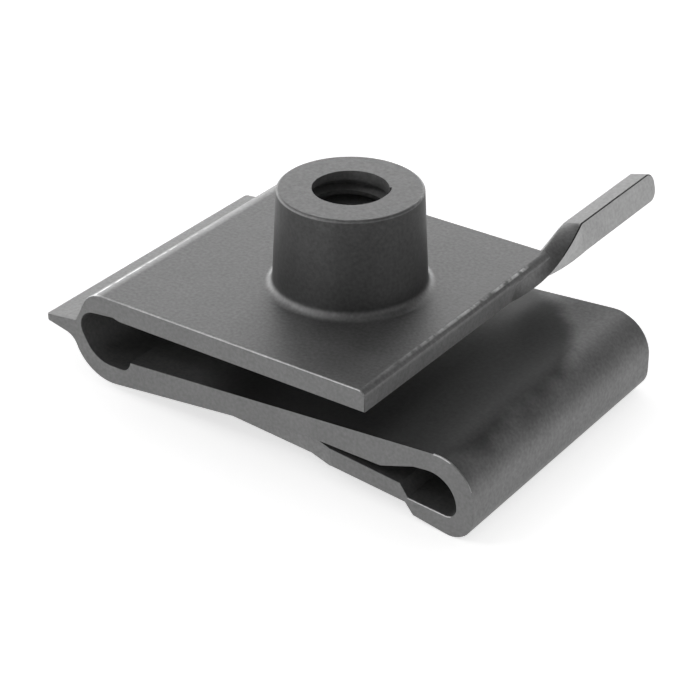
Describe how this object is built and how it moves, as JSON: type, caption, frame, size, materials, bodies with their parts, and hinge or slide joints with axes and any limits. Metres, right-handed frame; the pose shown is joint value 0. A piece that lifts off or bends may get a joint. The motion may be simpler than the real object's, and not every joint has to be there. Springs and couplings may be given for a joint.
{
  "type": "u clip speed nut",
  "caption": "Spring-steel clip nut: a folded strip with a drawn threaded barrel that clamps onto a panel edge and takes a screw.",
  "frame": {"origin": "thread axis, where it leaves the upper face of the top plate", "axes": "+Z along the thread axis towards the barrel's rim; +X along the strip towards the panel's mouth; +Y across the strip towards the arm"},
  "size_m": [0.0337, 0.0362, 0.0148],
  "materials": {
    "phosphated_steel": "dark grey phosphate, semi-matt"
  },
  "bodies": {
    "root": {"clip": "phosphated_steel"}
  },
  "joints": []
}
